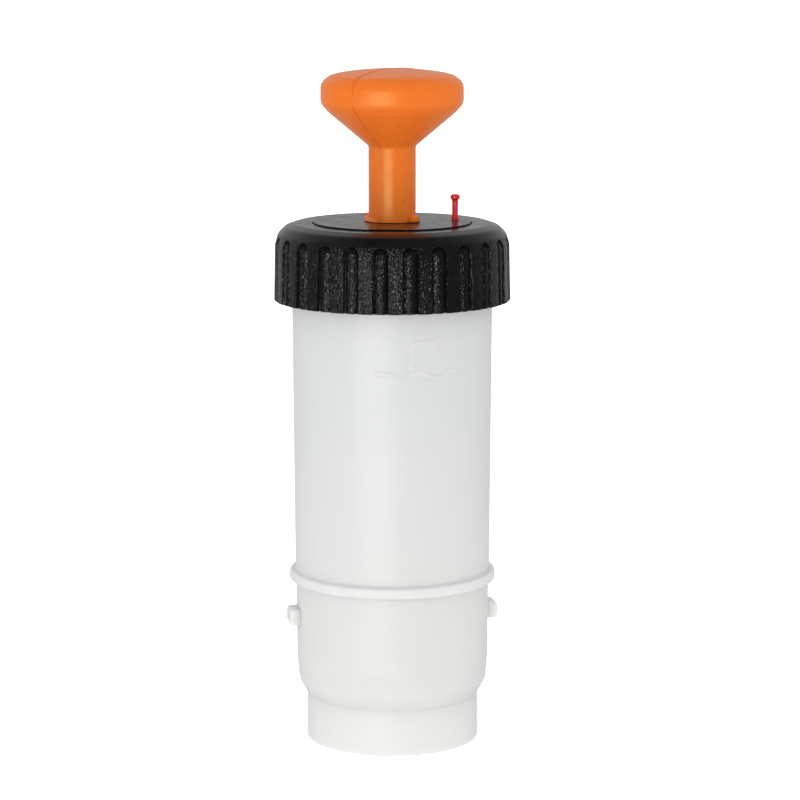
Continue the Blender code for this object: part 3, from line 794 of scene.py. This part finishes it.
# (radius, height, fillet) outlines of the inner pieces that are plain turned forms.
TURNED_PIECES = {
    "captive_ring": ring(43.4, 44.55, 215.3, 216.1, 0.25),
    "head_gasket": ring(39.9, 42.9, 214.4, 216.2, 0.4),
    "barrel": [(18.4, 212.0, 0.2), (18.4, 209.5, 0.2), (16.5, 209.5, 0.3), (16.5, 21.3, 0.4),
               (14.7, 21.3, 0.4), (14.7, 212.0, 0.5)],
    "barrel_nut": [(22.2, 214.5, 0.3), (22.2, 203.9, 0.5), (21.6, 203.3, 0.4), (16.8, 203.3, 0.3),
                   (16.8, 209.2), (18.4, 209.2), (18.4, 206.2), (20.5, 206.2), (20.5, 214.5, 0.2)],
    "barrel_o_ring": o_ring(16.9, 213.5, 2.4),
    "foot_o_ring": o_ring(10.9, 16.5, 2.3),
    "guide_bush": [(8.6, 219.6, 0.3), (8.6, 207.7, 0.2), (11.2, 207.7, 0.3), (11.2, 205.3, 0.3),
                   (5.3, 205.3, 0.3), (5.3, 219.6, 0.3)],
    "rod_wiper": [(9.1, 222.6, 0.3), (9.1, 220.2, 0.3), (5.7, 220.2, 0.1), (5.3, 221.0, 0.2),
                  (6.6, 221.5, 0.3), (5.3, 222.6, 0.1)],
    "foot_valve_disc": ring(2.4, 10.4, 25.3, 26.9, 0.4),
    "foot_valve_keeper": [(0, 31.0), (4.3, 31.0, 0.5), (4.6, 30.6, 0.4), (4.6, 29.3, 0.2), (2.0, 29.3, 0.2),
                          (2.0, 22.1), (2.9, 22.1, 0.2), (2.5, 20.6, 0.3), (0, 20.6)],
    "handle_insert": [(8.0, 244.2, 0.3), (8.0, 238.0, 0.2), (7.4, 237.4, 0.2), (7.4, 233.6, 0.2),
                      (8.0, 233.0, 0.2), (8.0, 226.8, 0.3), (4.2, 226.8, 0.3), (4.2, 244.2, 0.3)],
    "top_buffer": ring(5.3, 9.6, 63.0, 70.0, 1.0),
    "piston_stop_washer": ring(3.3, 10.5, 60.9, 62.2, 0.2),
    "piston_valve_disc": ring(5.4, 11.4, 57.3, 58.9, 0.4),
    "piston_washer": ring(3.3, 6.6, 45.1, 46.7, 0.2),
    "piston_cup_seal": [(14.4, 54.3, 0.2), (14.4, 53.0, 0.6), (13.9, 51.4, 0.8), (14.2, 49.1, 0.3),
                        (11.5, 49.1, 0.2), (11.5, 54.3, 0.2), (12.4, 54.3, 0.2), (12.8, 52.6, 0.4),
                        (13.5, 54.3, 0.2)],
}


def make_turned_pieces(materials):
    """Turns each plain inner piece from its outline."""
    for node, outline in TURNED_PIECES.items():
        piece = turned(node + "_form", refined(rounded(outline, steps=4), 8.0), angles=96)
        stands_for(piece, node, materials[slot_of[node]])


def circle_of_spots(count, radius):
    """Hole centres, evenly spaced round the axis."""
    return [(radius * math.cos(a), radius * math.sin(a)) for a in even_angles(count)]


def drilled(node, outline, radius, low, high, spots, materials, angles=96):
    """A turned piece with a round hole of that radius, from low to high, at each spot."""
    piece = turned(node + "_form", refined(rounded(outline, steps=4), 8.0), angles=angles)
    cut_away(piece, [drill(f"{node}_hole_{i}", radius, low, high, spot) for i, spot in enumerate(spots)])
    stands_for(piece, node, materials[slot_of[node]])


def make_drilled_pieces(materials):
    """The inner pieces with ports or holes, and the hexagon nut."""
    valve_body = [(14.4, 25.0, 0.4), (14.4, 21.0, 0.2), (18.3, 21.0, 0.4), (18.3, 18.0, 0.4),
                  (9.2, 18.0, 0.3), (9.2, 6.0, 0.3), (7.0, 6.0, 0.3), (7.0, 16.5, 1.0),
                  (10.2, 19.5, 1.0), (10.2, 22.4, 0.3), (2.3, 22.4, 0.2), (2.3, 25.0, 0.2)]
    drilled("foot_valve_body", valve_body, 1.5, 21.5, 26.0, circle_of_spots(6, 6.6), materials)
    strainer = [(0, 5.2), (5.3, 5.2, 0.6), (5.3, 12.0, 0.3), (6.7, 12.0, 0.3), (6.7, 5.7, 0.2),
                (9.0, 5.7, 0.3), (9.0, 4.2, 0.4), (8.6, 3.8, 0.3), (0, 3.8)]
    sieve = [(0.0, 0.0)] + circle_of_spots(6, 3.3)
    drilled("intake_strainer", strainer, 1.1, 3.0, 6.0, sieve, materials, angles=64)
    piston = [(5.0, 60.6, 0.2), (5.0, 57.0, 0.2), (13.6, 57.0, 0.4), (14.2, 56.4, 0.3), (14.2, 54.6, 0.2),
              (11.2, 54.6, 0.2), (11.2, 48.8, 0.2), (14.2, 48.8, 0.2), (14.2, 47.6, 0.3), (13.6, 47.0, 0.4),
              (3.3, 47.0, 0.2), (3.3, 60.6, 0.2)]
    drilled("piston", piston, 1.4, 45.0, 59.0, circle_of_spots(6, 8.4), materials)
    nut = [(0, 44.8), (5.3, 44.8), (5.8, 44.4), (5.8, 40.4), (5.3, 40.0), (0, 40.0)]
    drilled("piston_nut", nut, 3.3, 38.0, 47.0, [(0.0, 0.0)], materials, angles=6)


def make_relief_seat(materials):
    """The rubber seal on the red pin, and the windowed cage below it."""
    pin = middle_of("relief_pin")
    place = (pin.x, pin.y, 0)
    seal = turned("relief_seal_form", rounded(ring(1.5, 3.2, 217.4, 219.2, 0.5)), 48, place=place)
    stands_for(seal, "relief_seal", materials["black_rubber"])
    cage = [(4.6, 219.2, 0.2), (4.6, 204.5, 0.4), (1.6, 204.5, 0.2), (1.6, 206.2, 0.2), (3.6, 206.2, 0.3),
            (3.6, 219.2, 0.2)]
    cup = turned("relief_cage_form", refined(rounded(cage), 8.0), 64, place=place)
    cut_away(cup, [soft_block("cage_window", (2.4, 12.0, 6.0), (pin.x, pin.y, 212.0), 0.0, 0.4)])
    stands_for(cup, "relief_cage", materials["black_plastic"])


def make_relief_spring(material):
    """The coil between the cage's floor and the pin's collar."""
    coil = 2.3
    wire = 0.3
    bottom = 206.5
    top = 215.9
    turns = 5
    sides = 10
    steps = turns * 36
    pin = middle_of("relief_pin")
    shape = bmesh.new()
    loops = []
    for i in range(steps + 1):
        angle = 2 * math.pi * turns * i / steps
        height = bottom + wire + (top - bottom - 2 * wire) * i / steps
        outward = Vector((math.cos(angle), math.sin(angle), 0))
        loop = [outward * (coil + wire * math.cos(a)) + Vector((0, 0, height + wire * math.sin(a)))
                for a in even_angles(sides)]
        loops.append([shape.verts.new(point * MM) for point in loop])
    for low, high in zip(loops, loops[1:]):
        for k in range(sides):
            shape.faces.new((low[k], low[(k + 1) % sides], high[(k + 1) % sides], high[k]))
    shape.faces.new(loops[0])
    shape.faces.new(loops[-1])
    bmesh.ops.recalc_face_normals(shape, faces=shape.faces)
    spring = finished(shape, "relief_coil", (pin.x, pin.y, 0))
    stands_for(spring, "relief_spring", material)
    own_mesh(spring)


# ---------------------------------------------------------------- studio

def make_studio():
    """A pale floor and a bright surround, with soft boxes for the shading and one that only gloss sees."""
    bpy.ops.mesh.primitive_plane_add(size=40.0, location=(0, 0, 0))
    floor = bpy.context.object
    floor.name = "floor"
    floor.visible_glossy = False
    floor.visible_diffuse = False
    floor.visible_shadow = False
    material, tree, shader = principled("pale_floor", Roughness=0.9, Specular_IOR_Level=0.0,
                                        Emission_Color=(1, 1, 1, 1), Emission_Strength=0.84)
    coloured(tree, shader, mixed(tree, noise(tree, 3), (0.89, 0.89, 0.89), (0.91, 0.91, 0.91)))
    painted(floor, material)
    make_surround()
    key = soft_box("key", (-0.20, -1.43, 0.14), (0.66, 0.52), 2.7, (1.0, 0.99, 0.97), (0, 0, 0.1))
    gleam = soft_box("gleam", (-0.47, -1.37, -0.01), (1.05, 0.45), 9.5, (1.0, 0.98, 0.95))
    low = soft_box("fill_low", (0.0, -1.3, -0.35), (0.8, 0.3), 2.4, (1.0, 0.985, 0.95), (0, 0, 0.04))
    left = soft_box("fill_left", (-1.3, -0.5, 0.08), (0.6, 0.9), 1.6, (1.0, 1.0, 1.0))
    right = soft_box("fill_right", (1.3, -0.5, 0.15), (0.6, 0.9), 0.9, (1.0, 0.97, 0.93))
    gleam.visible_diffuse = False
    for lamp in (key, low, left, right):
        lamp.visible_glossy = False


def make_surround():
    """The world: even light, a glow behind the pump for the glossy pieces, and plain white for the camera."""
    world = bpy.data.worlds.new("surround")
    world.use_nodes = True
    tree = world.node_tree
    sky = tree.nodes["Background"]
    sky.inputs["Color"].default_value = (1, 1, 1, 1)
    coordinates = tree.nodes.new("ShaderNodeTexCoord")
    facing = tree.nodes.new("ShaderNodeVectorMath")
    facing.operation = "DOT_PRODUCT"
    facing.inputs[1].default_value = Vector((-0.04, 0.98, 0.2)).normalized()
    tree.links.new(coordinates.outputs["Generated"], facing.inputs[0])
    glow = ranged(tree, facing.outputs["Value"], 0.02, 0.52, from_low=0.2, from_high=0.85)
    ray = tree.nodes.new("ShaderNodeLightPath")
    lit = blended(tree, ray.outputs["Is Glossy Ray"], 0.90, glow)
    tree.links.new(blended(tree, ray.outputs["Is Camera Ray"], lit, 1.0), sky.inputs["Strength"])
    bpy.context.scene.world = world


def blended(tree, factor, first, second):
    """A number between first and second, each of which is a value or a socket."""
    node = tree.nodes.new("ShaderNodeMix")
    tree.links.new(factor, node.inputs["Factor"])
    for name, value in (("A", first), ("B", second)):
        if isinstance(value, float):
            node.inputs[name].default_value = value
        else:
            tree.links.new(value, node.inputs[name])
    return node.outputs["Result"]


def soft_box(name, location, size, power, colour, target=(0, 0, 0.16)):
    """A rectangular light that faces a point of the pump, in metres and watts."""
    lamp = bpy.data.lights.new(name, "AREA")
    lamp.shape = "RECTANGLE"
    lamp.size, lamp.size_y = size
    lamp.energy = power
    lamp.color = colour
    item = bpy.data.objects.new(name, lamp)
    item.location = location
    item.rotation_euler = (Vector(target) - Vector(location)).to_track_quat("-Z", "Y").to_euler()
    item.visible_camera = False
    bpy.context.scene.collection.objects.link(item)
    return item


def make_camera():
    """A long lens in front of the pump, looking 9.7 degrees down on it."""
    camera = bpy.data.cameras.new("camera")
    camera.lens = 137.6
    camera.sensor_width = 36.0
    item = bpy.data.objects.new("camera", camera)
    item.location = (0.0033, -1.284, 0.365)
    item.rotation_euler = (math.radians(80.34), 0, 0)
    bpy.context.scene.collection.objects.link(item)
    bpy.context.scene.camera = item


# ---------------------------------------------------------------- assembly

def paint_nodes(materials):
    """Every CAD node gets its slot's material and smooth shading, also where a piece stands for it."""
    for node, slot in slot_of.items():
        painted(nodes[node], materials[slot])
        smooth_shaded(nodes[node].data)


materials = {
    "milky_plastic": milky_plastic(),
    "black_plastic": black_plastic(),
    "orange_plastic": orange_plastic(),
    "red_plastic": coloured_plastic("red_plastic", (0.80, 0.016, 0.03), 0.3, 0.12),
    "white_plastic": coloured_plastic("white_plastic", (0.72, 0.72, 0.68), 0.4, 0.05),
    "black_rubber": rubber(),
    "stainless_steel": metal("stainless_steel", (0.58, 0.58, 0.57), 0.28, (1, 1, 0.02)),
    "brass": metal("brass", (0.70, 0.48, 0.18), 0.3, (1, 1, 0.05)),
}
paint_nodes(materials)
make_vessel(materials["milky_plastic"])
make_union_nut(grained_black_plastic())
make_pump_head(materials["black_plastic"])
make_handle(materials["orange_plastic"])
make_relief_pin(materials["red_plastic"])
make_rod(materials["stainless_steel"])
make_turned_pieces(materials)
make_drilled_pieces(materials)
make_relief_seat(materials)
make_relief_spring(materials["stainless_steel"])
make_studio()
make_camera()
bpy.context.scene.view_settings.view_transform = "Standard"
